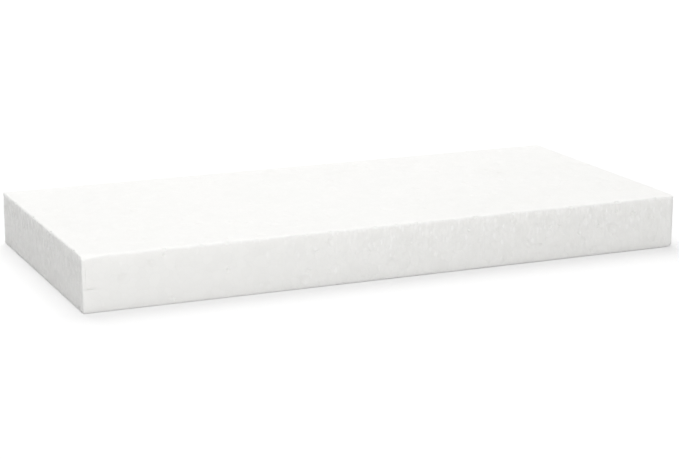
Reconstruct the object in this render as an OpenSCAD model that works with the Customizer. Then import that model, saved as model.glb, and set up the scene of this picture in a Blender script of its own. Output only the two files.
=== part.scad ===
// Foam block: one slab of white expanded polystyrene, cut square from a larger
// billet with a hot wire and handled since. The slab is a single solid.
//
// Frame: the origin is at the middle of the base, +X runs to the right end,
// +Y to the back and +Z up. All sizes are in millimetres.

/* [Slab] */
// Length from the left end to the right end
slab_length = 304; // [150:1:600]
// Width from the front to the back
slab_width = 140; // [70:1:300]
// Thickness from the base to the top
slab_thickness = 26; // [14:0.5:60]

/* [Rubbed top edges] */
// Radius of the long top edge at the front
top_front_radius = 1.2; // [0.5:0.1:3]
// Radius of the long top edge at the back
top_back_radius = 0.9; // [0.5:0.1:3]
// Radius of the top edge of the left end
top_left_radius = 1.0; // [0.5:0.1:3]
// Radius of the top edge of the right end
top_right_radius = 1.5; // [0.5:0.1:3]

/* [Rubbed base edges and uprights] */
// Radius of the four edges round the base
base_radius = 0.7; // [0.4:0.1:3]
// Radius of the upright edge at the front left
front_left_radius = 1.0; // [0.5:0.1:5]
// Radius of the upright edge at the front right
front_right_radius = 4.0; // [0.5:0.1:6]
// Radius of both upright edges at the back
back_radius = 1.4; // [0.5:0.1:5]

/* [Worn corners] */
// Reach of the front left corner's wear along the front
left_wear_along_front = 20; // [6:0.5:25]
// Reach of the front left corner's wear along the left end
left_wear_along_end = 4.5; // [2:0.1:12]
// Drop of the top at the front left corner
left_wear_drop = 1.8; // [0.5:0.1:4]
// Reach of the front right corner's wear along the front
right_wear_along_front = 7; // [2:0.5:15]
// Reach of the front right corner's wear along the right end
right_wear_along_end = 9; // [2:0.5:15]
// Drop of the top at the front right corner
right_wear_drop = 1.5; // [0.5:0.1:4]
// Reach of the wear under the front right corner along the front
under_wear_along_front = 7; // [2:0.5:15]
// Reach of the wear under the front right corner along the right end
under_wear_along_end = 8; // [2:0.5:15]
// Rise of the base at the front right corner
under_wear_rise = 3; // [0.5:0.1:4]

/* [Lost beads] */
// Width of the pit that a lost bead leaves in a face
pit_width = 2.2; // [1:0.1:4]
// Depth of that pit
pit_depth = 0.6; // [0.2:0.1:1.5]
// Width of the notch that a lost bead leaves in a top edge
notch_width = 2.4; // [1:0.1:4]
// Depth of that notch, into the rounded edge
notch_depth = 0.55; // [0.2:0.05:1.5]
// Side of the square of face that holds one pit, on the faces away from the front
pit_spacing = 44; // [30:1:90]
// Distance between two notches, on the edges away from the front
notch_spacing = 34; // [20:1:90]

/* [Handling marks] */
// Length of the cut across the front near its left end
cut_length = 5.5; // [3:0.5:20]
// Depth of that cut at its middle
cut_depth = 0.45; // [0.2:0.05:1]
// Height of that cut above the base
cut_height = 11.3; // [4:0.1:12]
// Length of the upright crease beside the front left edge
crease_length = 14; // [6:0.5:20]
// Depth of that crease at its middle
crease_depth = 0.3; // [0.1:0.05:0.8]
// Width of the cut and of the crease
mark_width = 0.6; // [0.3:0.1:1.5]

/* [Hidden] */
$fn = 64;

// How far a cutting shape runs on past the surface that it cuts
overrun = 10;
// A face keeps this strip along its edges free of pits
pit_margin = max(4, pit_width);
// Inset of the crease from the left end, just past the rounded upright
crease_inset = front_left_radius + mark_width / 2;

// Pits in the front: distance from the left end, height above the base, share of the full width
front_pits = [
    [37.5, 23, 0.8], [43.5, 17, 0.7], [68, 13, 1.1], [96, 8, 0.6], [118, 17.5, 0.7],
    [141, 6, 0.6], [163, 15, 0.8], [189, 19.5, 0.8], [212, 22, 0.9], [221, 10.5, 1],
    [233, 17, 0.8], [249, 12.5, 0.9], [260, 15, 1], [270, 21, 0.9], [279, 19, 1.4], [280.5, 12, 0.8]
];
// Pits in the top: distance from the left end, distance from the front, share of the full width
top_pits = [[31, 84, 0.6], [98, 40, 0.5], [150, 104, 0.6], [231, 14, 0.7], [249, 34, 0.7], [256, 67, 0.8]];
// Notches in the top front edge: distance from the left end, share of the full width
front_notches = [
    [38, 1], [55.5, 0.8], [67.5, 1], [106, 0.8], [118, 0.9], [140.5, 1], [151.5, 0.7],
    [162, 0.9], [193, 1.1], [212.5, 1], [244.5, 1], [270, 1.2], [292, 1]
];

// Radius of the ball whose cap is this wide and this deep
function cap_radius(width, depth) = (width * width / 4 + depth * depth) / (2 * depth);

// Place number i of a scatter over the unit square: two shares from 0 to 1,
// the same at each run
function scatter(i, seed) = rands(0, 1, 2, 100 * seed + i);

// Each of these draws in a face's own frame: x along the face, y up it (or
// towards the back on the top), z out of it, from the corner that the name gives.
module on_front_from_left() translate([-slab_length / 2, -slab_width / 2, 0]) rotate([90, 0, 0]) children();
module on_back_from_right() translate([slab_length / 2, slab_width / 2, 0]) rotate([90, 0, 180]) children();
module on_left_end_from_back() translate([-slab_length / 2, slab_width / 2, 0]) rotate([90, 0, -90]) children();
module on_right_end_from_front() translate([slab_length / 2, -slab_width / 2, 0]) rotate([90, 0, 90]) children();
module on_top_from_left() translate([-slab_length / 2, -slab_width / 2, slab_thickness]) children();
module on_base_from_left() translate([-slab_length / 2, slab_width / 2, 0]) rotate([180, 0, 0]) children();

// Rectangle about the origin with a radius of its own at each corner, in the
// order lower left, lower right, upper right, upper left.
module soft_rectangle(size, radii) {
    side = [[-1, -1], [1, -1], [1, 1], [-1, 1]];
    centre = [for (i = [0:3]) [side[i].x * (size.x / 2 - radii[i]), side[i].y * (size.y / 2 - radii[i])]];
    foot = [for (i = [0:3]) centre[i] + [0, side[i].y * radii[i]]];
    flank = [for (i = [0:3]) centre[i] + [side[i].x * radii[i], 0]];
    polygon([flank[0], foot[0], foot[1], flank[1], flank[2], foot[2], foot[3], flank[3]]);
    for (i = [0:3]) translate(centre[i]) circle(radii[i]);
}

// The slab as it was cut: the space shared by its plan, its front view and its
// end view, each with the radii of the edges that run across that view.
module cut_slab() {
    intersection() {
        translate([0, 0, -overrun])
            linear_extrude(slab_thickness + 2 * overrun)
                soft_rectangle([slab_length, slab_width],
                    [front_left_radius, front_right_radius, back_radius, back_radius]);
        translate([0, slab_width / 2 + overrun, slab_thickness / 2]) rotate([90, 0, 0])
            linear_extrude(slab_width + 2 * overrun)
                soft_rectangle([slab_length, slab_thickness],
                    [base_radius, base_radius, top_right_radius, top_left_radius]);
        translate([-slab_length / 2 - overrun, 0, slab_thickness / 2]) rotate([90, 0, 90])
            linear_extrude(slab_length + 2 * overrun)
                soft_rectangle([slab_width, slab_thickness],
                    [base_radius, base_radius, top_back_radius, top_front_radius]);
    }
}

// What wear takes from a corner. The worn patch starts on a straight line over
// the corner and rolls down from it as a cylinder, to the given drop at the
// corner itself. Drawn at a front left corner, with z = 0 at the top.
module corner_wear(along_front, along_end, drop) {
    reach = along_front * along_end / norm([along_front, along_end]);
    roll = (reach * reach + drop * drop) / (2 * drop);
    line_half = norm([along_front, along_end]) + overrun;
    // x runs from the patch's line towards the corner
    rotate([0, 0, 180 + atan2(along_front, along_end)])
        translate([-reach, line_half, 0]) rotate([90, 0, 0])
            linear_extrude(2 * line_half)
                difference() {
                    translate([0, -roll]) square([roll + overrun, roll + overrun]);
                    translate([0, -roll]) circle(roll);
                }
}

// The pit of a lost bead, about z = 0 of a face
module bead_pit(share) {
    ball = cap_radius(pit_width, pit_depth) * share;
    translate([0, 0, ball - pit_depth * share]) sphere(ball, $fn = 32);
}

// The notch of a lost bead in a rounded top edge, drawn in a face's frame with
// the sharp edge at y = 0
module edge_notch(edge_radius, share) {
    ball = cap_radius(notch_width, notch_depth) * share;
    // The rounded edge lies this far inside the sharp one, along the bisector
    rounding = edge_radius * (sqrt(2) - 1);
    out = (ball - notch_depth * share - rounding) / sqrt(2);
    translate([0, out, out]) sphere(ball, $fn = 32);
}

// Pits spread over a face of this length and height
module scattered_pits(length, height, seed) {
    count = max(1, floor(length * height / (pit_spacing * pit_spacing)));
    for (i = [0:count - 1]) {
        place = scatter(i, seed);
        translate([pit_margin + place.x * (length - 2 * pit_margin),
                   pit_margin + place.y * (height - 2 * pit_margin), 0])
            bead_pit(0.6 + 0.5 * place.y);
    }
}

// Notches spread along a face's top edge
module scattered_notches(length, edge_radius, seed) {
    count = floor(length / notch_spacing);
    for (i = [0:count - 1]) {
        place = scatter(i, seed);
        translate([(i + 0.15 + 0.7 * place.x) * length / count, slab_thickness, 0])
            edge_notch(edge_radius, 0.7 + 0.4 * place.y);
    }
}

// The pits and notches on the front and top, each at its own place
module placed_losses() {
    on_front_from_left() {
        for (pit = front_pits)
            if (pit.x < slab_length - pit_margin && pit.y < slab_thickness - pit_margin / 2)
                translate([pit.x, pit.y, 0]) bead_pit(pit.z);
        for (notch = front_notches)
            if (notch.x < slab_length - pit_margin)
                translate([notch.x, slab_thickness, 0]) edge_notch(top_front_radius, notch.y);
    }
    on_top_from_left()
        for (pit = top_pits)
            if (pit.x < slab_length - pit_margin && pit.y < slab_width - pit_margin)
                translate([pit.x, pit.y, 0]) bead_pit(pit.z);
}

// The pits and notches on the other faces and edges
module spread_losses() {
    on_back_from_right() {
        scattered_pits(slab_length, slab_thickness, 1);
        scattered_notches(slab_length, top_back_radius, 2);
    }
    on_left_end_from_back() {
        scattered_pits(slab_width, slab_thickness, 3);
        scattered_notches(slab_width, top_left_radius, 4);
    }
    on_right_end_from_front() {
        scattered_pits(slab_width, slab_thickness, 5);
        scattered_notches(slab_width, top_right_radius, 6);
    }
    on_base_from_left() scattered_pits(slab_length, slab_width, 7);
}

// A straight nick, deepest at its middle, as the rim of a wide disc cuts it:
// along x, in a face at z = 0
module rim_cut(length, depth) {
    rim = cap_radius(length, depth);
    translate([0, mark_width / 2, rim - depth]) rotate([90, 0, 0]) cylinder(h = mark_width, r = rim, $fn = 200);
}

// The cut and the crease at the left of the front
module handling_marks() {
    on_front_from_left() {
        translate([crease_inset + cut_length / 2, cut_height, 0]) rim_cut(cut_length, cut_depth);
        translate([crease_inset, slab_thickness - left_wear_drop - crease_length / 2, 0])
            rotate([0, 0, 90]) rim_cut(crease_length, crease_depth);
    }
}

// What wear takes from the top's two front corners and from under the right one
module worn_corners() {
    on_top_from_left() corner_wear(left_wear_along_front, left_wear_along_end, left_wear_drop);
    mirror([1, 0, 0]) {
        on_top_from_left() corner_wear(right_wear_along_front, right_wear_along_end, right_wear_drop);
        mirror([0, 0, 1]) translate([-slab_length / 2, -slab_width / 2, 0])
            corner_wear(under_wear_along_front, under_wear_along_end, under_wear_rise);
    }
}

// The whole block: the slab as cut, less what use has taken from it
module foam_block() {
    color("white")
        difference() {
            cut_slab();
            worn_corners();
            placed_losses();
            spread_losses();
            handling_marks();
        }
}

foam_block();
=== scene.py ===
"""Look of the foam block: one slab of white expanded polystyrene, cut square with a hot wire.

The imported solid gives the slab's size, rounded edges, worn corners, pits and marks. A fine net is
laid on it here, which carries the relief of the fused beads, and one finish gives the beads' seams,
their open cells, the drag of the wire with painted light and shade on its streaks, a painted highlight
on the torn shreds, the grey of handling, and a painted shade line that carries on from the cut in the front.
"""

from __future__ import annotations

import logging
import math
import random
import sys
from dataclasses import dataclass, field
from enum import Enum
from typing import Sequence

import bmesh
import bpy
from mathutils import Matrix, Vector, noise
from mathutils.bvhtree import BVHTree
from mathutils.kdtree import KDTree

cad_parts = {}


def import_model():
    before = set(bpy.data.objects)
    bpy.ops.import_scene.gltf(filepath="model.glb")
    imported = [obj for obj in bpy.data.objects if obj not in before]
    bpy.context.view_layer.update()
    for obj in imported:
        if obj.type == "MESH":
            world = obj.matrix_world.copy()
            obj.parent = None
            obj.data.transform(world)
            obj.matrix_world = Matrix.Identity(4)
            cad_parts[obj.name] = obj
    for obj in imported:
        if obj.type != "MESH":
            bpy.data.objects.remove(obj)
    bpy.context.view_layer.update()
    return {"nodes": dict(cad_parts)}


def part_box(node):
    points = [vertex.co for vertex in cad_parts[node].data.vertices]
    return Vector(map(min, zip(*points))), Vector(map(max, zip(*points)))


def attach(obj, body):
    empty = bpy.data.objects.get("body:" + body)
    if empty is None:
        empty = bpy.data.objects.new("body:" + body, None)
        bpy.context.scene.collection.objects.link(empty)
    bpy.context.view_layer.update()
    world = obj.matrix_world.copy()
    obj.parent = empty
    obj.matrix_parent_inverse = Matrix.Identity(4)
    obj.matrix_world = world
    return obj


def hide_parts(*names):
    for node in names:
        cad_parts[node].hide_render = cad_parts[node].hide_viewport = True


LOG = logging.getLogger("foam_block")
MM = 0.001
Pair = tuple[float, float]
Triple = tuple[float, float, float]
Feed = float | Sequence[float] | bpy.types.NodeSocket
Part = bmesh.types.BMVert | bmesh.types.BMEdge | bmesh.types.BMFace
Held = dict[bmesh.types.BMVert, list[int]]


class Axis(Enum):
    """The three directions of the slab."""

    LENGTH = 0
    WIDTH = 1
    THICKNESS = 2


class Ramp(Enum):
    """How a value climbs between two limits."""

    STRAIGHT = "LINEAR"
    EASED = "SMOOTHSTEP"


# ---------------------------------------------------------------- shader building


class NodeSheet:
    """Adds nodes to one shader tree and wires each one as it is made."""

    def __init__(self, tree: bpy.types.NodeTree) -> None:
        """Keeps the material's or the group's tree."""
        self.tree = tree

    def node(
        self, kind: str, feeds: dict[str | int, Feed] | None = None, **settings: object
    ) -> bpy.types.Node:
        """Adds one node.

        Args:
            kind: The node's type name.
            feeds: What goes into its inputs, by name or number: a value, or another node's output.
            settings: The node's own properties.

        Returns:
            The new node.
        """
        made = self.tree.nodes.new(kind)
        for name, value in settings.items():
            setattr(made, name, value)
        for key, feed in (feeds or {}).items():
            if isinstance(feed, bpy.types.NodeSocket):
                self.tree.links.new(feed, made.inputs[key])
            else:
                made.inputs[key].default_value = feed
        return made

    def math(self, operation: str, *feeds: Feed) -> bpy.types.NodeSocket:
        """Works one sum on plain values, by the Math node's operation and its inputs in order."""
        return self.node("ShaderNodeMath", dict(enumerate(feeds)), operation=operation).outputs[0]

    def product(self, first: Feed, *others: Feed) -> bpy.types.NodeSocket:
        """Multiplies plain values.

        Args:
            first: The first value.
            others: The values that it is multiplied by, one after another.

        Returns:
            The product's socket.
        """
        for other in others:
            first = self.math("MULTIPLY", first, other)
        return first

    def vector(self, operation: str, *feeds: Feed) -> bpy.types.NodeSocket:
        """Works one sum on vectors, by the Vector Math node's operation and its inputs in order."""
        return self.node("ShaderNodeVectorMath", dict(enumerate(feeds)), operation=operation).outputs[0]

    def scale(self, vector: Feed, factor: Feed) -> bpy.types.NodeSocket:
        """Multiplies a vector or a colour by a plain value."""
        return self.node("ShaderNodeVectorMath", {0: vector, "Scale": factor}, operation="SCALE").outputs[0]

    def parts(self, vector: Feed) -> bpy.types.bpy_prop_collection:
        """Takes a vector apart into sockets named X, Y and Z."""
        return self.node("ShaderNodeSeparateXYZ", {0: vector}).outputs

    def climb(
        self, value: Feed, low: Feed, high: Feed, start: Feed = 0.0, end: Feed = 1.0, ramp: Ramp = Ramp.EASED
    ) -> bpy.types.NodeSocket:
        """Turns a value between two limits into a mask.

        Args:
            value: What is measured.
            low: Where the mask is at its start.
            high: Where the mask is at its end.
            start: The mask at low.
            end: The mask at high.
            ramp: How it climbs between them.

        Returns:
            The mask's socket.
        """
        feeds = {"Value": value, "From Min": low, "From Max": high, "To Min": start, "To Max": end}
        return self.node("ShaderNodeMapRange", feeds, interpolation_type=ramp.value).outputs["Result"]

    def divide(self, place: Feed, size: float | Triple) -> bpy.types.NodeSocket:
        """Measures a place in units of a size, which is one for all axes or one for each."""
        return self.vector("DIVIDE", place, (size,) * 3 if isinstance(size, float) else size)

    def noise(self, place: Feed, detail: float) -> bpy.types.NodeSocket:
        """Adds smooth noise about one unit across, from 0 to 1, with so many finer layers."""
        feeds = {"Vector": place, "Scale": 1.0, "Detail": detail}
        return self.node("ShaderNodeTexNoise", feeds).outputs["Fac"]

    def cells(self, place: Feed) -> bpy.types.bpy_prop_collection:
        """Adds round cells about one unit across, each with a Distance, a chance Color and a Position."""
        return self.node("ShaderNodeTexVoronoi", {"Vector": place, "Scale": 1.0}, feature="F1").outputs

    def blend(self, share: Feed, start: Feed, end: Feed) -> bpy.types.NodeSocket:
        """Mixes two colours.

        Args:
            share: How much of the second one there is, from 0 to 1.
            start: The first colour, or its socket.
            end: The second colour, or its socket.

        Returns:
            The mixed colour's socket.
        """
        sides = [side if isinstance(side, bpy.types.NodeSocket) else (*side, 1.0) for side in (start, end)]
        feeds = {"Factor": share, "A": sides[0], "B": sides[1]}
        return self.node("ShaderNodeMix", feeds, data_type="RGBA").outputs["Result"]

    def group(self, group: bpy.types.NodeTree, **feeds: Feed) -> bpy.types.bpy_prop_collection:
        """Places a node group, fed by its inputs' names, and gives its output sockets."""
        return self.node("ShaderNodeGroup", feeds, node_tree=group).outputs


@dataclass
class GroupDraft:
    """A shader node group being made, with its sockets and its sheet."""

    name: str
    inputs: dict[str, float | None]
    outputs: Sequence[str]
    tree: bpy.types.NodeTree = field(init=False)
    sheet: NodeSheet = field(init=False)
    given: bpy.types.bpy_prop_collection = field(init=False)
    result: bpy.types.bpy_prop_collection = field(init=False)

    def __post_init__(self) -> None:
        """Makes the tree: an input with no value is a place, the others are numbers."""
        self.tree = bpy.data.node_groups.new(self.name, "ShaderNodeTree")
        for name, value in self.inputs.items():
            kind = "NodeSocketVector" if value is None else "NodeSocketFloat"
            socket = self.tree.interface.new_socket(name, in_out="INPUT", socket_type=kind)
            if value is not None:
                socket.default_value = value
        for name in self.outputs:
            self.tree.interface.new_socket(name, in_out="OUTPUT", socket_type="NodeSocketFloat")
        self.sheet = NodeSheet(self.tree)
        self.given = self.tree.nodes.new("NodeGroupInput").outputs
        self.result = self.tree.nodes.new("NodeGroupOutput").inputs

    def put_out(self, name: str, socket: bpy.types.NodeSocket) -> None:
        """Wires one of the group's outputs."""
        self.tree.links.new(socket, self.result[name])


def clear_sheet(owner: bpy.types.Material | bpy.types.World) -> NodeSheet:
    """Empties the shader tree of a material or a world.

    Args:
        owner: The material or the world.

    Returns:
        The sheet of its tree.
    """
    owner.use_nodes = True
    owner.node_tree.nodes.clear()
    return NodeSheet(owner.node_tree)


# ---------------------------------------------------------------- objects and meshes


def add_object(name: str, data: bpy.types.ID) -> bpy.types.Object:
    """Puts a new object into the scene.

    Args:
        name: Its name.
        data: Its mesh, light or camera.

    Returns:
        The object.
    """
    made = bpy.data.objects.new(name, data)
    bpy.context.scene.collection.objects.link(made)
    return made


def finished_mesh(name: str, draft: bmesh.types.BMesh) -> bpy.types.Mesh:
    """Turns a mesh in the making into a finished one.

    Args:
        name: The finished mesh's name.
        draft: The mesh in the making. It is used up.

    Returns:
        The finished mesh.
    """
    mesh = bpy.data.meshes.new(name)
    draft.to_mesh(mesh)
    draft.free()
    return mesh


def turn_points_to_faces(mesh: bpy.types.Mesh) -> bpy.types.Mesh:
    """Makes the mesh that has a face for each point of a net and a point for each of its faces.

    A net's open borders stay where they are, and what its points carry goes to the new faces.

    Args:
        mesh: The net. It is used up.

    Returns:
        The new mesh.
    """
    tree = bpy.data.node_groups.new("turn_points_to_faces", "GeometryNodeTree")
    tree.interface.new_socket("Net", in_out="INPUT", socket_type="NodeSocketGeometry")
    tree.interface.new_socket("Cells", in_out="OUTPUT", socket_type="NodeSocketGeometry")
    turn = tree.nodes.new("GeometryNodeDualMesh")
    turn.inputs["Keep Boundaries"].default_value = True
    tree.links.new(tree.nodes.new("NodeGroupInput").outputs[0], turn.inputs[0])
    tree.links.new(turn.outputs[0], tree.nodes.new("NodeGroupOutput").inputs[0])
    holder = add_object("net_holder", mesh)
    holder.modifiers.new("turn", "NODES").node_group = tree
    cells = bpy.data.meshes.new_from_object(holder.evaluated_get(bpy.context.evaluated_depsgraph_get()))
    bpy.data.objects.remove(holder)
    bpy.data.meshes.remove(mesh)
    bpy.data.node_groups.remove(tree)
    return cells


def search_tree(places: Sequence[Vector]) -> KDTree:
    """Makes a tree that finds the nearest of some places.

    Args:
        places: The places.

    Returns:
        The tree, which gives each place's number in their order.
    """
    tree = KDTree(len(places))
    for number, place in enumerate(places):
        tree.insert(place, number)
    tree.balance()
    return tree


def even_out(skin: bmesh.types.BMesh, verts: list[bmesh.types.BMVert]) -> None:
    """Moves points half-way to the middle of their neighbours."""
    bmesh.ops.smooth_vert(skin, verts=verts, factor=0.5, use_axis_x=True, use_axis_y=True, use_axis_z=True)


@dataclass(frozen=True)
class Mark:
    """One pit, notch or nick of the solid: the box round its points."""

    low: Vector
    high: Vector

    @property
    def middle(self) -> Vector:
        """The middle of the mark."""
        return (self.low + self.high) / 2

    @property
    def size(self) -> Vector:
        """The mark's extent along each axis."""
        return self.high - self.low


# ---------------------------------------------------------------- finish


@dataclass(frozen=True)
class DragRelief:
    """What the hot wire's drag leaves on the sides.

    There are upright streaks, and shreds of torn bead, which hang below the top edges. The shreds' lighter
    colour is a painted highlight, for the light that their torn lips catch, and the streaks' tone carries
    painted light and shade.
    """

    streak_size: Triple = (1.4 * MM, 1.8 * MM, 3.7 * MM)
    streak_depth: float = 0.3 * MM
    streak_limits: Pair = (0.34, 0.66)
    blotch_size: Triple = (4.0 * MM, 4.0 * MM, 5.5 * MM)
    blotch_limits: Pair = (0.3, 0.7)
    blotch_tone: float = 0.6
    lively_limits: Pair = (0.4, 0.6)
    liveliness: Pair = (0.35, 1.3)
    boldness: Pair = (0.6, 1.3)
    shred_size: Triple = (2.1 * MM, 2.1 * MM, 4.4 * MM)
    shred_height: float = 0.1 * MM
    shred_slope: float = 0.55
    sloped: Pair = (1.1, 1.5)
    shred_reach: float = 0.4
    shred_core: float = 0.55
    shred_share: float = 0.62
    low_share: float = 0.1
    shreds_rise: Pair = (8.0 * MM, 22.0 * MM)
    # How strong each shred's painted highlight is, from faint to strong; it also scales the shred's height.
    highlight_and_height: Pair = (0.12, 0.85)
    tear_size: Triple = (0.6 * MM, 0.6 * MM, 1.1 * MM)
    tear: float = 0.5

    def shreds(
        self, sheet: NodeSheet, place: Feed, height: Feed, rough: Feed
    ) -> tuple[bpy.types.NodeSocket, bpy.types.NodeSocket]:
        """Scatters the torn shreds, more of them towards the top.

        Args:
            sheet: The group's sheet.
            place: Where they are read.
            height: The place's height above the base.
            rough: How rough the wire left the place.

        Returns:
            How far each place belongs to a shred, weighted by its painted highlight, which also scales the
            shred's height, and how high a shred stands there.
        """
        feeds = {"Vector": sheet.divide(place, self.tear_size), "Scale": 1.0}
        ragged = sheet.node("ShaderNodeTexNoise", feeds).outputs["Color"]
        pull = sheet.scale(sheet.vector("SUBTRACT", ragged, (0.5, 0.5, 0.5)), self.tear)
        torn_place = sheet.vector("ADD", sheet.divide(place, self.shred_size), pull)
        cells = sheet.cells(torn_place)
        inside = sheet.climb(cells["Distance"], self.shred_reach, self.shred_reach * self.shred_core)
        upper = sheet.climb(height, *self.shreds_rise, self.low_share, 1.0)
        chance = sheet.node("ShaderNodeSeparateColor", {0: cells["Color"]}).outputs
        chosen = sheet.math("LESS_THAN", chance[0], sheet.product(rough, upper, self.shred_share))
        # Picks how bright each shred's painted highlight is, brighter where the wire tore more.
        white = sheet.product(sheet.math("POWER", chance[1], 2.0), rough)
        highlight_and_height = sheet.climb(white, 0.0, 1.0, *self.highlight_and_height, Ramp.STRAIGHT)
        above = sheet.parts(sheet.vector("SUBTRACT", torn_place, cells["Position"]))["Z"]
        slope = sheet.climb(rough, *self.sloped, 0.0, -self.shred_slope * self.shred_size[2])
        raised = sheet.math("MULTIPLY_ADD", above, slope, self.shred_height)
        return sheet.product(inside, chosen, highlight_and_height), raised

    def shade(self, sheet: NodeSheet, place: Feed, height: Feed, streaks: Feed) -> bpy.types.NodeSocket:
        """Paints light and shade along the streaks into the colour, mixed with random blotchy tone, livelier
        in some patches and bolder towards the top.

        Args:
            sheet: The group's sheet.
            place: Where the patches are read.
            height: The place's height above the base.
            streaks: The streaks' noise.

        Returns:
            The shade's socket, about zero.
        """
        blotches = sheet.noise(sheet.divide(place, self.blotch_size), detail=1.0)
        lively = sheet.climb(blotches, *self.lively_limits, *self.liveliness)
        fine = sheet.product(sheet.climb(streaks, *self.streak_limits, -1.0, 1.0), lively)
        broad = sheet.climb(blotches, *self.blotch_limits, -self.blotch_tone, self.blotch_tone)
        bold = sheet.climb(height, *self.shreds_rise, *self.boldness)
        return sheet.product(sheet.math("ADD", fine, broad), bold)

    def build(self) -> bpy.types.NodeTree:
        """Makes the group.

        Returns:
            The group's tree, which puts out the relief in metres, the shreds' painted highlight and the
            streaks' painted light and shade, mixed with random tone.
        """
        draft = GroupDraft("drag_relief", {"Place": None, "Rough": 1.0}, ("Relief", "TornHighlight", "StreakShadeAndTone"))
        sheet, place, rough = draft.sheet, draft.given["Place"], draft.given["Rough"]
        height = sheet.parts(place)["Z"]
        streaks = sheet.noise(sheet.divide(place, self.streak_size), detail=2.0)
        rougher = sheet.math("POWER", rough, 2.0)
        drawn = sheet.product(streaks, rougher, self.streak_depth)
        shred, raised = self.shreds(sheet, place, height, rough)
        draft.put_out("Relief", sheet.math("MULTIPLY_ADD", raised, shred, drawn))
        # The shreds' mask, which carries their painted highlight into the colour.
        draft.put_out("TornHighlight", shred)
        draft.put_out("StreakShadeAndTone", sheet.product(self.shade(sheet, place, height, streaks), rougher))
        return draft.tree


@dataclass(frozen=True)
class CellGrain:
    """The tiny cells within a bead, seen where the wire opened them, and the wire's faint dimples."""

    cell_size: float = 0.3 * MM
    cell_depth: float = 0.02 * MM
    dimple_size: float = 1.6 * MM
    dimple_depth: float = 0.05 * MM

    def build(self) -> bpy.types.NodeTree:
        """Makes the group.

        Returns:
            The group's tree, which puts out the relief in metres and a value that goes from cell to cell.
        """
        draft = GroupDraft("cell_grain", {"Place": None, "Rough": 1.0}, ("Relief", "Cell"))
        sheet, place, rough = draft.sheet, draft.given["Place"], draft.given["Rough"]
        cells = sheet.cells(sheet.divide(place, self.cell_size))
        dimples = sheet.noise(sheet.divide(place, self.dimple_size), detail=1.0)
        open_cells = sheet.product(cells["Distance"], -self.cell_depth)
        worn = sheet.product(dimples, self.dimple_depth, rough)
        draft.put_out("Relief", sheet.math("ADD", open_cells, worn))
        draft.put_out("Cell", sheet.node("ShaderNodeSeparateColor", {0: cells["Color"]}).outputs[1])
        return draft.tree


@dataclass(frozen=True)
class HandlingDust:
    """The faint grey that hands and the bench leave, in broad soft patches."""

    patch_size: float = 55.0 * MM
    patch_share: float = 0.7
    fleck_size: float = 6.0 * MM
    fleck_share: float = 0.3
    limits: Pair = (0.52, 0.78)

    def build(self) -> bpy.types.NodeTree:
        """Makes the group.

        Returns:
            The group's tree, which puts out how dusty a place is, from 0 to 1.
        """
        draft = GroupDraft("handling_dust", {"Place": None}, ("Dust",))
        sheet, place = draft.sheet, draft.given["Place"]
        patches = sheet.noise(sheet.divide(place, self.patch_size), detail=2.0)
        flecks = sheet.noise(sheet.divide(place, self.fleck_size), detail=4.0)
        mixed = sheet.math(
            "ADD", sheet.product(patches, self.patch_share), sheet.product(flecks, self.fleck_share)
        )
        draft.put_out("Dust", sheet.climb(mixed, *self.limits))
        return draft.tree


@dataclass(frozen=True)
class Scuff:
    """A painted shade: a faint grey line that carries on from the cut in the front, for the shade of the cut.
    """

    start: Vector
    length: float = 9.4 * MM
    fading: float = 0.6
    height: float = 0.85 * MM
    core: float = 0.2
    waver_size: float = 3.0 * MM
    waver: float = 0.6 * MM
    depth: Pair = (2.0 * MM, 1.0 * MM)

    def build(self) -> bpy.types.NodeTree:
        """Makes the group.

        Returns:
            The group's tree, which puts out how strongly the painted shade lies on a place, from 0 to 1.
        """
        draft = GroupDraft("cut_shade", {"Place": None}, ("Scuff",))
        sheet, place = draft.sheet, draft.given["Place"]
        offset = sheet.parts(sheet.vector("SUBTRACT", place, self.start))
        waves = sheet.noise(sheet.divide(place, self.waver_size), detail=1.0)
        level = sheet.math("ADD", offset["Z"], -self.waver / 2)
        level = sheet.math("MULTIPLY_ADD", waves, self.waver, level)
        band = sheet.climb(sheet.math("ABSOLUTE", level), self.height, self.height * self.core)
        begun = sheet.climb(offset["X"], -self.height, self.height)
        left = sheet.climb(offset["X"], self.length, self.length * self.fading)
        near = sheet.climb(offset["Y"], *self.depth)
        draft.put_out("Scuff", sheet.product(begun, left, band, near))
        return draft.tree


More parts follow.
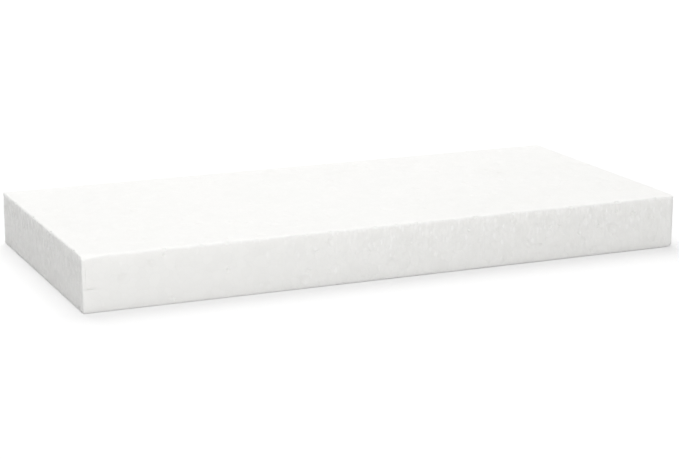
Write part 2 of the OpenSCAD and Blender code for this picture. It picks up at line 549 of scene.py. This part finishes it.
@dataclass(frozen=True)
class FoamFinish:
    """White expanded polystyrene as a hot wire leaves it."""

    cut_shade_start: Vector
    colour: Triple = (0.895, 0.891, 0.873)
    seam_colour: Triple = (0.878, 0.874, 0.856)
    # Painted highlight: the lighter colour of the torn shreds, for the light that their lips catch.
    torn_highlight_colour: Triple = (0.995, 0.993, 0.975)
    # Painted shade: the grey of the line that carries on from the cut in the front.
    cut_shade_colour: Triple = (0.852, 0.849, 0.834)
    dust_colour: Triple = (0.848, 0.842, 0.817)
    dust_share: float = 0.35
    bead_tones: Pair = (0.988, 1.006)
    cell_tones: Pair = (0.993, 1.007)
    # How much the painted light and shade of the drag streaks, mixed with random tone, lighten and darken the
    # colour.
    streak_shade_and_tone: float = 0.017
    roughness: Pair = (0.56, 0.7)
    specular: float = 0.3
    scatter_share: float = 0.6
    scatter_reach: float = 3.0 * MM

    def build(self) -> bpy.types.Material:
        """Makes the material.

        Returns:
            The finished material.
        """
        material = bpy.data.materials.new("white_bead_foam")
        sheet = clear_sheet(material)
        place = sheet.node("ShaderNodeTexCoord").outputs["Object"]
        inside = sheet.node("ShaderNodeAttribute", attribute_name="inside").outputs["Fac"]
        rough = sheet.node("ShaderNodeAttribute", attribute_name="rough").outputs["Fac"]
        bead = sheet.node("ShaderNodeAttribute", attribute_name="bead").outputs["Fac"]
        drag = sheet.group(DragRelief().build(), Place=place, Rough=rough)
        grain = sheet.group(CellGrain().build(), Place=place, Rough=rough)
        dust = sheet.group(HandlingDust().build(), Place=place)["Dust"]
        # Painted shade: a grey line that carries on from the front cut.
        cut_shade = sheet.group(Scuff(self.cut_shade_start).build(), Place=place)["Scuff"]

        body = sheet.blend(inside, self.seam_colour, self.colour)
        dusty = sheet.blend(sheet.product(dust, self.dust_share), body, self.dust_colour)
        cut_shaded = sheet.blend(cut_shade, dusty, self.cut_shade_colour)
        bead_tone = sheet.climb(bead, 0.0, 1.0, *self.bead_tones, Ramp.STRAIGHT)
        cell_tone = sheet.climb(grain["Cell"], 0.0, 1.0, *self.cell_tones, Ramp.STRAIGHT)
        # Painted light and shade along the drag streaks, with random blotchy tone.
        streak_shade_and_tone = sheet.math("MULTIPLY_ADD", drag["StreakShadeAndTone"], self.streak_shade_and_tone, 1.0)
        toned = sheet.scale(cut_shaded, sheet.product(bead_tone, cell_tone, streak_shade_and_tone))
        # Painted highlight: the torn shreds get a lighter colour.
        colour = sheet.blend(drag["TornHighlight"], toned, self.torn_highlight_colour)

        drag_normal = sheet.node("ShaderNodeBump", {"Distance": 1.0, "Height": drag["Relief"]}).outputs[0]
        grain_feeds = {"Distance": 1.0, "Height": grain["Relief"], "Normal": drag_normal}
        shader = sheet.node(
            "ShaderNodeBsdfPrincipled",
            {
                "Base Color": colour,
                "Roughness": sheet.climb(bead, 0.0, 1.0, *self.roughness, Ramp.STRAIGHT),
                "Normal": sheet.node("ShaderNodeBump", grain_feeds).outputs[0],
                "Subsurface Weight": self.scatter_share,
                "Subsurface Radius": (1.0, 1.0, 1.0),
                "Subsurface Scale": self.scatter_reach,
                "Specular IOR Level": self.specular,
            },
        )
        sheet.node("ShaderNodeOutputMaterial", {"Surface": shader.outputs[0]})
        return material


# ---------------------------------------------------------------- the slab


@dataclass
class FoamSlab:
    """The slab's skin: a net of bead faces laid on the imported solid, with its seams sunk."""

    solid: bpy.types.Object
    low: Vector
    high: Vector
    seed: int = 5
    touch: float = 0.01 * MM
    # The solid's marks.
    corner_reach: float = 21.0 * MM
    mark_inset: float = 3.0 * MM
    mark_link: float = 1.4 * MM
    largest_pit: float = 3.2 * MM
    # The net, with a point for each bead.
    bead_size: float = 3.7 * MM
    stray: float = 0.42
    edge_stray: float = 0.26
    calm: float = 0.3
    calm_reach: float = 6.5 * MM
    points_near: int = 12
    evening_rounds: int = 3
    most_mends: int = 12
    flat_angle: float = 0.1
    box_angle: float = 1.0
    # How rough the wire left each side.
    calm_top: float = 0.2
    rough_base: float = 0.6
    rough_back: float = 0.8
    calm_front: float = 0.22
    calm_length: float = 0.18
    climb_length: float = 0.3
    torn_end: float = 1.6
    # The beads' relief.
    seam_width: float = 0.32 * MM
    seam_drop: float = 0.12 * MM
    seam_bias: float = 1.5
    hole_drop: float = 0.16 * MM
    hole_share: float = 0.035
    small_bead: float = 5.0 * MM * MM
    bead_drop: float = 0.08 * MM
    lean: float = 0.035
    torn_drop: float = 0.4 * MM
    torn_spread: Pair = (0.4, 1.0)
    torn_share: float = 0.16
    bowl_wall: float = 0.7 * MM
    wave_drop: float = 0.1 * MM
    wave_length: float = 45.0 * MM
    # The lines and points that let the skin follow the solid.
    edge_lines: tuple[float, ...] = (0.75 * MM, 1.3 * MM, 2.1 * MM)
    blunt_lines: tuple[float, ...] = (3.1 * MM, 4.2 * MM)
    nick_rim: float = 0.06 * MM
    nick_step: float = 0.8 * MM
    notch_step: float = 0.6 * MM
    nick_margin: float = 2.5 * MM
    core_depth: float = 4.6 * MM
    run_up: float = 1.0 * MM
    tolerance: float = 0.08 * MM
    finest: float = 0.35 * MM
    crowd_rounds: int = 3
    sliver: float = 0.04 * MM
    # The cut and the crease at the left of the front.
    # How far before the cut the painted shade line on the front begins.
    cut_shade_lead: float = 0.8 * MM
    crease_strip: Pair = (0.95 * MM, 1.8 * MM)
    crease_top: float = 1.8 * MM
    crease_depth: float = 0.5 * MM
    crease_rise: float = 0.65
    # The finished skin.
    fold_angle: float = math.radians(120.0)
    crisp_angle: float = math.radians(35.0)
    chance: random.Random = field(init=False)
    marks: list[Mark] = field(init=False)
    shell: BVHTree = field(init=False)

    def __post_init__(self) -> None:
        """Starts the slab's own run of chance, the same each time, and looks the solid over."""
        self.chance = random.Random(self.seed)
        self.marks = self.find_marks()
        self.shell = BVHTree.FromObject(self.solid, bpy.context.evaluated_depsgraph_get())

    def depths(self, place: Vector) -> list[float]:
        """How far a point lies in from the nearer of the two sides across each axis."""
        return [min(place[i] - self.low[i], self.high[i] - place[i]) for i in range(3)]

    def touches(self, mark: Mark) -> int:
        """How many of the slab's sides a mark opens on."""
        return sum(depth < self.mark_link for depth in self.depths(mark.middle))

    def find_marks(self) -> list[Mark]:
        """Finds the solid's pits, notches and nicks.

        Its plain faces and rounded edges are ruled without points between their ends, so each point
        away from the corners belongs to a mark, and points close together belong to one mark.

        Returns:
            The marks, in the order of the solid's points.
        """
        places = []
        for vert in self.solid.data.vertices:
            depths = self.depths(vert.co)
            if max(depths) > self.corner_reach or depths[Axis.THICKNESS.value] > self.mark_inset:
                places.append(vert.co.copy())
        tree = search_tree(places)
        marks, free = [], set(range(len(places)))
        while free:
            reached = [min(free)]
            free.discard(reached[0])
            for number in reached:
                for _, other, _ in tree.find_range(places[number], self.mark_link):
                    if other in free:
                        free.discard(other)
                        reached.append(other)
            own = [places[number] for number in reached]
            low = Vector([min(place[i] for place in own) for i in range(3)])
            high = Vector([max(place[i] for place in own) for i in range(3)])
            marks.append(Mark(low, high))
        return marks

    def front_cut(self) -> Mark:
        """Finds the level cut in the front.

        Returns:
            The longest mark that opens on the front alone.
        """
        on_front = [mark for mark in self.marks if mark.middle.y - self.low.y < self.mark_link]
        alone = [mark for mark in on_front if self.touches(mark) == 1]
        return max(alone, key=lambda mark: mark.size.x)

    def cut_shade_start(self) -> Vector:
        """Where the painted shade line on the front begins: at the near end of the level cut."""
        cut = self.front_cut()
        return Vector((cut.low.x - self.cut_shade_lead, self.low.y, cut.middle.z))

    def sharp_box(self) -> bmesh.types.BMesh:
        """Makes the slab's box, ruled into squares about a bead wide.

        Returns:
            The box.
        """
        net = bmesh.new()
        bmesh.ops.create_cube(net, size=1.0)
        for axis in Axis:
            at = axis.value
            along = [e for e in net.edges if abs(e.verts[0].co[at] - e.verts[1].co[at]) > 0.5]
            count = round((self.high[at] - self.low[at]) / self.bead_size)
            bmesh.ops.subdivide_edges(net, edges=along, cuts=count - 1, use_grid_fill=True)
        bmesh.ops.scale(net, vec=self.high - self.low, verts=net.verts)
        bmesh.ops.translate(net, vec=(self.high + self.low) / 2, verts=net.verts)
        return net

    def places_for(self, held: Held) -> dict[bmesh.types.BMVert, Vector]:
        """Finds the net's nearest point for each pit and each notch.

        Args:
            held: The axes whose side of the box each point of the net lies on.

        Returns:
            The place that each of those points moves to.
        """
        verts = list(held)
        tree = search_tree([vert.co for vert in verts])
        places = {}
        for mark in self.marks:
            if max(mark.size) > self.largest_pit:
                continue
            axes = [i for i, depth in enumerate(self.depths(mark.middle)) if depth < self.mark_link]
            near = [verts[number] for _, number, _ in tree.find_n(mark.middle, self.points_near)]
            for vert in near:
                if held[vert] == axes and vert not in places:
                    places[vert] = Vector([vert.co[i] if i in axes else mark.middle[i] for i in range(3)])
                    break
        return places

    def scatter(self, net: bmesh.types.BMesh, held: Held) -> None:
        """Gives each point of the net its chance number and moves it, less so near a pit or a notch.

        Args:
            net: The net, ruled into squares.
            held: The axes whose side of the box each point lies on. It doesn't leave that side.
        """
        bead, lost = net.verts.layers.float["bead"], net.verts.layers.float["lost"]
        places = self.places_for(held)
        pinned = search_tree(list(places.values()))
        for vert, axes in held.items():
            vert[bead] = self.chance.random()
            stray = (self.stray if len(axes) == 1 else self.edge_stray) * self.bead_size
            if pinned.find(vert.co)[2] < self.calm_reach:
                stray *= self.calm
            move = Vector([0.0 if i in axes else self.chance.uniform(-stray, stray) for i in range(3)])
            vert[lost] = float(vert in places)
            vert.co = places.get(vert, vert.co + move)

    def faces_out(self, face: bmesh.types.BMFace) -> bool:
        """Tells which way a face on the sharp box looks.

        Args:
            face: The face.

        Returns:
            Whether it looks out of the box.
        """
        middle = face.calc_center_median()
        depths = self.depths(middle)
        at = depths.index(min(depths))
        outward = -1.0 if middle[at] < (self.low[at] + self.high[at]) / 2 else 1.0
        face.normal_update()
        return face.normal[at] * outward > 0.5

    def even_net(self, net: bmesh.types.BMesh, held: Held) -> None:
        """Evens out the triangles and turns back those that have crossed over.

        Args:
            net: The net, all triangles.
            held: The axes whose side of the box each point lies on.
        """
        lost = net.verts.layers.float["lost"]
        on_face = {v for v, axes in held.items() if len(axes) == 1}
        free = [v for v in held if v in on_face and not v[lost]]
        for _ in range(self.evening_rounds):
            inner = [e for e in net.edges if e.calc_face_angle(0.0) < self.flat_angle]
            bmesh.ops.beautify_fill(net, faces=net.faces, edges=inner, method="ANGLE")
            even_out(net, free)
        for _ in range(self.most_mends):
            turned = [f for f in net.faces if not self.faces_out(f)]
            crossed = list(dict.fromkeys(v for f in turned for v in f.verts if v in on_face))
            if not crossed:
                break
            even_out(net, crossed)

    def lay_net(self) -> bpy.types.Mesh:
        """Makes a sharp box of triangles with a point in the middle of each bead.

        A pit or a notch gets a bead of its own.

        Returns:
            The net as a mesh, split along the edges of the box.
        """
        net = self.sharp_box()
        for name in ("bead", "lost"):
            net.verts.layers.float.new(name)
        held = {v: [i for i, depth in enumerate(self.depths(v.co)) if depth < self.touch] for v in net.verts}
        self.scatter(net, held)
        bmesh.ops.triangulate(net, faces=net.faces, quad_method="SHORT_EDGE")
        self.even_net(net, held)
        bmesh.ops.split_edges(net, edges=[e for e in net.edges if e.calc_face_angle(0.0) > self.box_angle])
        return finished_mesh("bead_net", net)

    def cut_roughness(self, place: Vector, normal: Vector) -> float:
        """Tells how rough the wire left the slab at a place.

        The ends and the right of the front are torn, the top and the left of the front are smooth.

        Args:
            place: The place.
            normal: Which way the skin looks there.

        Returns:
            The roughness: 1 on the rougher part of the front, more on the ends.
        """
        along = (place.x - self.low.x) / (self.high.x - self.low.x)
        climb = min(max((along - self.calm_length) / self.climb_length, 0.0), 1.0)
        front = self.calm_front + (1.0 - self.calm_front) * climb
        upright = front if normal.y < 0.0 else self.rough_back
        flat = self.calm_top if normal.z > 0.0 else self.rough_base
        return self.torn_end * normal.x**2 + normal.y**2 * upright + normal.z**2 * flat

    def sink_seams(self, skin: bmesh.types.BMesh) -> None:
        """Sinks the seams between the beads, and a few small holes where beads meet.

        Args:
            skin: The skin, a face for each bead.
        """
        bead = skin.faces.layers.float["bead"]
        inside, drop = skin.verts.layers.float["inside"], skin.verts.layers.float["drop"]
        for vert in skin.verts:
            whole = len({f[bead] for f in vert.link_faces}) == 1
            vert[inside] = 1.0 if whole else 0.0
            if whole:
                continue
            rough = self.cut_roughness(vert.co, vert.normal)
            vert[drop] = self.seam_drop * rough * self.chance.random() ** self.seam_bias
            if self.chance.random() < self.hole_share * rough:
                vert[drop] += self.hole_drop

    def sink_beads(self, skin: bmesh.types.BMesh) -> None:
        """Parts each bead's face from its seams, leans it, and hollows out the torn beads.

        Args:
            skin: The skin, a face for each bead.
        """
        bead, lost = skin.faces.layers.float["bead"], skin.faces.layers.float["lost"]
        inside, drop = skin.verts.layers.float["inside"], skin.verts.layers.float["drop"]
        beads = list(skin.faces)
        small = [f for f in beads if f.calc_area() < self.small_bead]
        large = [f for f in beads if f.calc_area() >= self.small_bead]
        bmesh.ops.inset_individual(skin, faces=small, thickness=self.seam_width / 2, use_even_offset=False)
        bmesh.ops.inset_individual(skin, faces=large, thickness=self.seam_width, use_even_offset=False)
        torn = {}
        for face in beads:
            chance = random.Random(face[bead])
            middle = face.calc_center_median()
            rough = self.cut_roughness(middle, face.normal)
            top = self.bead_drop * rough * chance.random()
            picked = not face[lost] and chance.random() < self.torn_share * rough
            if picked and face.calc_area() > self.small_bead:
                torn[face] = chance.uniform(*self.torn_spread) * self.torn_drop
            lean = Vector([chance.uniform(-self.lean, self.lean) for _ in range(3)]) * rough
            for vert in face.verts:
                vert[inside] = 1.0
                vert[drop] = 0.0 if face[lost] else max(0.0, top + lean.dot(vert.co - middle))
        bmesh.ops.inset_individual(skin, faces=list(torn), thickness=self.bowl_wall, use_even_offset=False)
        for face, depth in torn.items():
            for vert in face.verts:
                vert[drop] += depth

    def rule(self, skin: bmesh.types.BMesh, parts: list[Part], axis: int, height: float) -> list[Part]:
        """Rules a line round the skin, square to an axis.

        Args:
            skin: The skin.
            parts: The points, edges and faces that the line may cross.
            axis: The axis' number.
            height: The line's place along it.

        Returns:
            The same parts with the new ones among them.
        """
        normal = Vector([float(i == axis) for i in range(3)])
        place = normal * height
        cut = bmesh.ops.bisect_plane(skin, geom=parts, dist=self.touch, plane_co=place, plane_no=normal)
        return cut["geom"]

    def rule_edges(self, skin: bmesh.types.BMesh) -> None:
        """Rules lines along the slab's edges, for the faces to bend at, and more at the blunt right upright.

        Args:
            skin: The skin, still on the sharp box.
        """
        lines = [(Axis.LENGTH, self.high.x - line) for line in self.blunt_lines]
        lines += [(Axis.WIDTH, self.low.y + line) for line in self.blunt_lines]
        for axis in Axis:
            for line in self.edge_lines:
                lines += [(axis, self.low[axis.value] + line), (axis, self.high[axis.value] - line)]
        for axis, height in lines:
            self.rule(skin, skin.verts[:] + skin.edges[:] + skin.faces[:], axis.value, height)

    def lines_for(self, mark: Mark) -> list[tuple[int, float]]:
        """Finds the lines to rule over a mark.

        Args:
            mark: A notch in an edge, which gets a grid, or a long nick, which gets its length and rims.

        Returns:
            Each line's axis and its place along it.
        """
        low, high, size, lines = mark.low, mark.high, mark.size, []
        if self.touches(mark) > 1:
            for axis in range(3):
                steps = math.ceil(size[axis] / self.notch_step)
                heights = [low[axis] + size[axis] * i / steps for i in range(steps + 1)]
                lines += [(axis, height) for height in heights if self.low[axis] < height < self.high[axis]]
            return lines
        depths = self.depths(mark.middle)
        out = depths.index(min(depths))
        along, across = sorted((i for i in range(3) if i != out), key=lambda i: -size[i])
        steps = math.ceil(size[along] / self.nick_step)
        lines += [(along, low[along] + size[along] * i / steps) for i in range(steps + 1)]
        for rim in (-self.nick_rim, self.nick_rim):
            lines += [(across, low[across] + rim), (across, high[across] + rim)]
        return lines + [(across, mark.middle[across])]

    def rule_nicks(self, skin: bmesh.types.BMesh) -> None:
        """Rules the skin over each long nick and each notch, so that their walls stand square.

        Args:
            skin: The skin, still on the sharp box.
        """
        verts = list(skin.verts)
        tree = search_tree([vert.co for vert in verts])
        for mark in self.marks:
            if max(mark.size) <= self.largest_pit and self.touches(mark) <= 1:
                continue
            reach = mark.size / 2 + Vector((self.nick_margin,) * 3)
            found = (verts[number] for _, number, _ in tree.find_range(mark.middle, reach.length))
            linked = dict.fromkeys(face for vert in found for face in vert.link_faces)
            offsets = {face: face.calc_center_median() - mark.middle for face in linked}
            near = [face for face, gap in offsets.items() if all(abs(gap[i]) < reach[i] for i in range(3))]
            edges = dict.fromkeys(edge for face in near for edge in face.edges)
            points = dict.fromkeys(vert for face in near for vert in face.verts)
            parts = near + list(edges) + list(points)
            for axis, height in self.lines_for(mark):
                parts = self.rule(skin, parts, axis, height)

    def fitted(self, place: Vector) -> Vector:
        """Moves a place straight in towards the slab's core until it meets the solid.

        Args:
            place: A point of the sharp box.

        Returns:
            The point on the solid.
        """
        low, high, depth = self.low, self.high, self.core_depth
        core = Vector([min(max(place[i], low[i] + depth), high[i] - depth) for i in range(3)])
        inward = (core - place).normalized()
        hit = self.shell.ray_cast(place - inward * self.run_up, inward)[0]
        return place if hit is None else hit

    def crowd(self, skin: bmesh.types.BMesh) -> None:
        """Adds points where the solid curves away from the flat faces between the skin's points.

        Args:
            skin: The skin, still on the sharp box.
        """
        where = {}
        for _ in range(self.crowd_rounds):
            where.update((vert, self.fitted(vert.co)) for vert in skin.verts if vert not in where)
            hollow, bent = [], []
            for face in skin.faces:
                if len(face.verts) == 3:
                    continue
                flat = sum((where[vert] for vert in face.verts), Vector()) / len(face.verts)
                if (self.fitted(face.calc_center_median()) - flat).length > self.tolerance:
                    hollow.append(face)
            for edge in skin.edges:
                start, end = edge.verts
                flat = (where[start] + where[end]) / 2
                gap = (self.fitted((start.co + end.co) / 2) - flat).length
                if gap > self.tolerance and edge.calc_length() > self.finest:
                    bent.append(edge)
            bmesh.ops.poke(skin, faces=hollow)
            bmesh.ops.subdivide_edges(skin, edges=bent, cuts=1, use_grid_fill=True, use_single_edge=True)

    def ease_crease(self, skin: bmesh.types.BMesh) -> None:
        """Makes the upright crease above the cut shallower, as the foam has sprung back from it.

        Args:
            skin: The skin, already fitted to the solid.
        """
        base, top = self.front_cut().high.z, self.high.z - self.crease_top
        near, far = self.crease_strip
        for vert in skin.verts:
            inset = vert.co - self.low
            if near < inset.x < far and inset.y < self.crease_depth and base < vert.co.z < top:
                vert.co.y -= inset.y * self.crease_rise

    def settle(self, skin: bmesh.types.BMesh) -> None:
        """Fits the skin to the solid and lets each point down by its drop and the wire's waves.

        Args:
            skin: The skin, still on the sharp box.
        """
        drop, roughness = skin.verts.layers.float["drop"], skin.verts.layers.float["rough"]
        for vert in skin.verts:
            vert.co = self.fitted(vert.co)
        self.ease_crease(skin)
        skin.normal_update()
        for vert in skin.verts:
            vert[roughness] = self.cut_roughness(vert.co, vert.normal)
            wave = self.wave_drop * (0.5 + 0.5 * noise.noise(vert.co / self.wave_length))
            vert.co -= vert.normal * (vert[drop] + wave)
        skin.verts.layers.float.remove(drop)

    def mend_folds(self, skin: bmesh.types.BMesh) -> None:
        """Evens out the few places where a narrow bead's rim lies folded over.

        Args:
            skin: The finished skin, all triangles.
        """
        for _ in range(self.most_mends):
            skin.normal_update()
            folded = [edge for edge in skin.edges if edge.calc_face_angle(0.0) > self.fold_angle]
            if not folded:
                break
            even_out(skin, list(dict.fromkeys(vert for edge in folded for vert in edge.verts)))

    def build(self) -> bpy.types.Object:
        """Makes the slab's skin.

        Returns:
            The finished object.
        """
        skin = bmesh.new()
        skin.from_mesh(turn_points_to_faces(self.lay_net()))
        bmesh.ops.remove_doubles(skin, verts=skin.verts, dist=self.touch)
        bmesh.ops.recalc_face_normals(skin, faces=skin.faces)
        for name in ("inside", "drop", "rough"):
            skin.verts.layers.float.new(name)
        skin.normal_update()
        self.sink_seams(skin)
        self.sink_beads(skin)
        self.rule_edges(skin)
        self.rule_nicks(skin)
        self.crowd(skin)
        bmesh.ops.dissolve_degenerate(skin, dist=self.sliver, edges=skin.edges)
        self.settle(skin)
        bmesh.ops.triangulate(skin, faces=skin.faces)
        self.mend_folds(skin)
        mesh = finished_mesh("bead_slab", skin)
        mesh.shade_smooth()
        mesh.set_sharp_from_angle(angle=self.crisp_angle)
        return add_object("bead_slab", mesh)


# ---------------------------------------------------------------- studio


@dataclass(frozen=True)
class SoftBox:
    """One square soft box, with its place in metres and its power in watts."""

    name: str
    place: Triple
    size: float
    power: float

    def hang(self, target: Vector) -> None:
        """Hangs the box.

        Args:
            target: What it is turned to.
        """
        data = bpy.data.lights.new(self.name, "AREA")
        data.size, data.energy = self.size, self.power
        lamp = add_object(self.name, data)
        lamp.location = self.place
        lamp.rotation_mode = "QUATERNION"
        lamp.rotation_quaternion = (target - Vector(self.place)).to_track_quat("-Z", "Y")


@dataclass
class Studio:
    """The pale floor, the soft light and the camera."""

    low: Vector
    high: Vector
    eye: Triple = (-377.3 * MM, -871.5 * MM, 241.0 * MM)
    lens: float = 104.0
    sensor_width: float = 36.0
    clip: Pair = (0.05, 50.0)
    aiming_rounds: int = 4
    floor_size: float = 8.0
    floor_colour: Triple = (0.67, 0.67, 0.67)
    floor_roughness: float = 0.9
    floor_glow: Pair = (0.32, 0.85)
    glow_reach: Pair = (0.3, 1.6)
    surround: float = 0.64
    side_share: float = 0.8
    boxes: tuple[SoftBox, ...] = (
        SoftBox("top_box", (0.08, 0.75, 1.35), size=1.2, power=13.2),
        SoftBox("front_box", (-0.31, -0.85, 0.27), size=0.45, power=2.6),
    )

    def floor(self) -> bpy.types.Object:
        """Lays the floor, which shows nearly white away from the slab and keeps its shadow.

        Returns:
            The floor's object.
        """
        plane = bmesh.new()
        bmesh.ops.create_grid(plane, x_segments=1, y_segments=1, size=self.floor_size / 2)
        floor = add_object("floor", finished_mesh("floor", plane))
        floor.data.materials.append(self.floor_material())
        return floor

    def floor_material(self) -> bpy.types.Material:
        """Makes the floor's material.

        Returns:
            The material, which glows only where it is seen.
        """
        material = bpy.data.materials.new("pale_floor")
        sheet = clear_sheet(material)
        rays = sheet.node("ShaderNodeLightPath").outputs
        seen = sheet.math("MAXIMUM", rays["Is Camera Ray"], rays["Is Glossy Ray"])
        seen = sheet.math("MAXIMUM", seen, rays["Is Transmission Ray"])
        place = sheet.node("ShaderNodeTexCoord").outputs["Object"]
        away = sheet.node("ShaderNodeVectorMath", {0: place}, operation="LENGTH").outputs["Value"]
        glow = sheet.climb(away, *self.glow_reach, *self.floor_glow)
        shader = sheet.node(
            "ShaderNodeBsdfPrincipled",
            {
                "Base Color": (*self.floor_colour, 1.0),
                "Roughness": self.floor_roughness,
                "Specular IOR Level": 0.0,
                "Emission Color": (1.0, 1.0, 1.0, 1.0),
                "Emission Strength": sheet.product(seen, glow),
            },
        )
        sheet.node("ShaderNodeOutputMaterial", {"Surface": shader.outputs[0]})
        return material

    def world(self) -> None:
        """Sets a soft surrounding light, a little weaker from both ends, that shows as white."""
        world = bpy.data.worlds.new("soft_surround")
        bpy.context.scene.world = world
        sheet = clear_sheet(world)
        rays = sheet.node("ShaderNodeLightPath").outputs
        seen = sheet.math("MAXIMUM", rays["Is Camera Ray"], rays["Is Transmission Ray"])
        way = sheet.node("ShaderNodeTexCoord").outputs["Generated"]
        aside = sheet.math("ABSOLUTE", sheet.parts(way)["X"])
        soft = sheet.climb(aside, 0.0, 1.0, self.surround, self.surround * self.side_share)
        strength = sheet.climb(seen, 0.0, 1.0, soft, 1.0, Ramp.STRAIGHT)
        background = sheet.node("ShaderNodeBackground", {"Color": (1.0, 1.0, 1.0, 1.0), "Strength": strength})
        sheet.node("ShaderNodeOutputWorld", {"Surface": background.outputs[0]})

    def camera(self) -> None:
        """Sets up the camera, aimed so that the slab is in the middle of the picture."""
        data = bpy.data.cameras.new("camera")
        data.sensor_width, data.lens = self.sensor_width, self.lens
        data.clip_start, data.clip_end = self.clip
        camera = add_object("camera", data)
        eye = Vector(self.eye)
        camera.location = eye
        camera.rotation_mode = "QUATERNION"
        sides = list(zip(self.low, self.high))
        corners = [Vector((x, y, z)) for x in sides[0] for y in sides[1] for z in sides[2]]
        aim = (self.low + self.high) / 2 - eye
        for _ in range(self.aiming_rounds):
            turn = aim.to_track_quat("-Z", "Y")
            seen = [turn.inverted() @ (corner - eye) for corner in corners]
            across = [place.x / -place.z for place in seen]
            up = [place.y / -place.z for place in seen]
            aim = turn @ Vector(((min(across) + max(across)) / 2, (min(up) + max(up)) / 2, -1.0))
        camera.rotation_quaternion = aim.to_track_quat("-Z", "Y")
        bpy.context.scene.camera = camera

    def build(self) -> None:
        """Makes the whole studio."""
        self.camera()
        self.floor()
        self.world()
        for box in self.boxes:
            box.hang((self.low + self.high) / 2)
        bpy.context.scene.view_settings.view_transform = "Standard"


def main() -> None:
    """Builds the studio and the slab, in order."""
    logging.basicConfig(level=logging.INFO, format="%(name)s: %(message)s", stream=sys.stdout)
    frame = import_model()
    low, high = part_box("foam_block")
    Studio(low, high).build()
    slab = FoamSlab(frame["nodes"]["foam_block"], low, high)
    piece = slab.build()
    piece.data.materials.append(FoamFinish(slab.cut_shade_start()).build())
    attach(piece, "root")
    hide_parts("foam_block")
    LOG.info("%s: %d points, %d triangles", piece.name, len(piece.data.vertices), len(piece.data.polygons))


if __name__ == "__main__":
    main()
